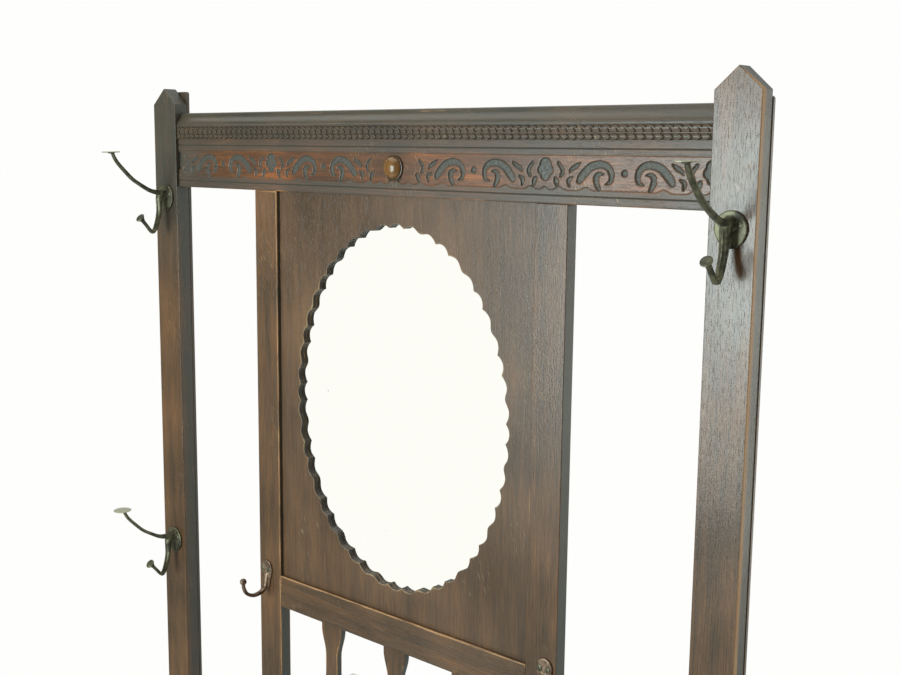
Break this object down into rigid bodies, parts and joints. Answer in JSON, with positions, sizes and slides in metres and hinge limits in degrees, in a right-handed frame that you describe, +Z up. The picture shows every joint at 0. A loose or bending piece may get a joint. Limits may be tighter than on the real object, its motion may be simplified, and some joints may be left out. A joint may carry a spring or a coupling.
{
  "type": "hall tree",
  "caption": "Tall oak hall tree with a framed oval mirror, coat hooks, a lidded glove box and stick bays with lift-out drip trays.",
  "frame": {"origin": "on the floor, under the middle of the bounding box", "axes": "+Z up, front towards -Y, +X to the right seen from the front"},
  "size_m": [0.9174, 0.29, 1.83],
  "materials": {
    "dark_oak": "dark stained oak, old satin polish, worn arrises",
    "panel_oak": "stained oak board, open vertical grain",
    "carved_oak": "stained oak with rubbed carving",
    "boss_wood": "turned and polished, honey brown",
    "backboard_pine": "unpolished thin board",
    "mirror_silver": "silvered plate glass",
    "bronze_hooks": "cast, dark bronzed, rubbed on the edges",
    "copper_hooks": "cast, coppered, worn",
    "brass": "aged, dull",
    "steel_screws": "dull",
    "japanned_steel": "black japanned pressed sheet"
  },
  "bodies": {
    "frame": {"left_post": "dark_oak", "right_post": "dark_oak", "left_backing_strip": "dark_oak", "right_backing_strip": "dark_oak", "frieze_board": "carved_oak", "cornice_moulding": "dark_oak", "rope_moulding": "dark_oak", "frieze_boss": "boss_wood", "left_stile": "dark_oak", "right_stile": "dark_oak", "mirror_panel": "panel_oak", "mirror_glass": "mirror_silver", "glass_fillets": "dark_oak", "mirror_backboard": "backboard_pine", "panel_rail": "dark_oak", "splat_left": "dark_oak", "splat_centre": "dark_oak", "splat_right": "dark_oak", "splat_rail": "dark_oak", "left_upper_hook": "bronze_hooks", "right_upper_hook": "bronze_hooks", "left_lower_hook": "bronze_hooks", "right_lower_hook": "bronze_hooks", "left_stile_hook": "copper_hooks", "right_stile_hook": "copper_hooks", "hook_screws": "brass", "frame_screws": "steel_screws", "left_back_rail": "dark_oak", "right_back_rail": "dark_oak", "base_back_rail": "dark_oak", "left_outer_leg": "dark_oak", "right_outer_leg": "dark_oak", "left_inner_leg": "dark_oak", "right_inner_leg": "dark_oak", "left_bay_front_rail": "dark_oak", "right_bay_front_rail": "dark_oak", "left_bay_side_rail": "dark_oak", "right_bay_side_rail": "dark_oak", "base_front_rail_left": "dark_oak", "base_front_rail_centre": "dark_oak", "base_front_rail_right": "dark_oak", "left_base_side_rail": "dark_oak", "right_base_side_rail": "dark_oak", "left_divider_rail": "dark_oak", "right_divider_rail": "dark_oak", "base_shelf": "panel_oak", "tray_bearers": "dark_oak", "box_front": "dark_oak", "box_left_side": "dark_oak", "box_right_side": "dark_oak", "box_back": "panel_oak", "box_bottom": "panel_oak", "lid_back_strip": "dark_oak", "hinge_leaves_fixed": "brass", "hinge_pins": "brass"},
    "lid": {"box_lid": "dark_oak", "hinge_leaves_lid": "brass", "lid_screws": "brass"},
    "left_tray": {"left_drip_tray": "japanned_steel"},
    "right_tray": {"right_drip_tray": "japanned_steel"}
  },
  "joints": [
    {"name": "lid_hinge", "type": "hinge", "parent": "frame", "child": "lid", "pos_m": [0, 0.08845, 0.8126], "axis": [-1, 0, 0], "range_deg": [0, 95]},
    {"name": "left_tray_lift", "type": "slide", "parent": "frame", "child": "left_tray", "axis": [0, 0, 1], "range_m": [0, 0.06]},
    {"name": "right_tray_lift", "type": "slide", "parent": "frame", "child": "right_tray", "axis": [0, 0, 1], "range_m": [0, 0.06]}
  ]
}
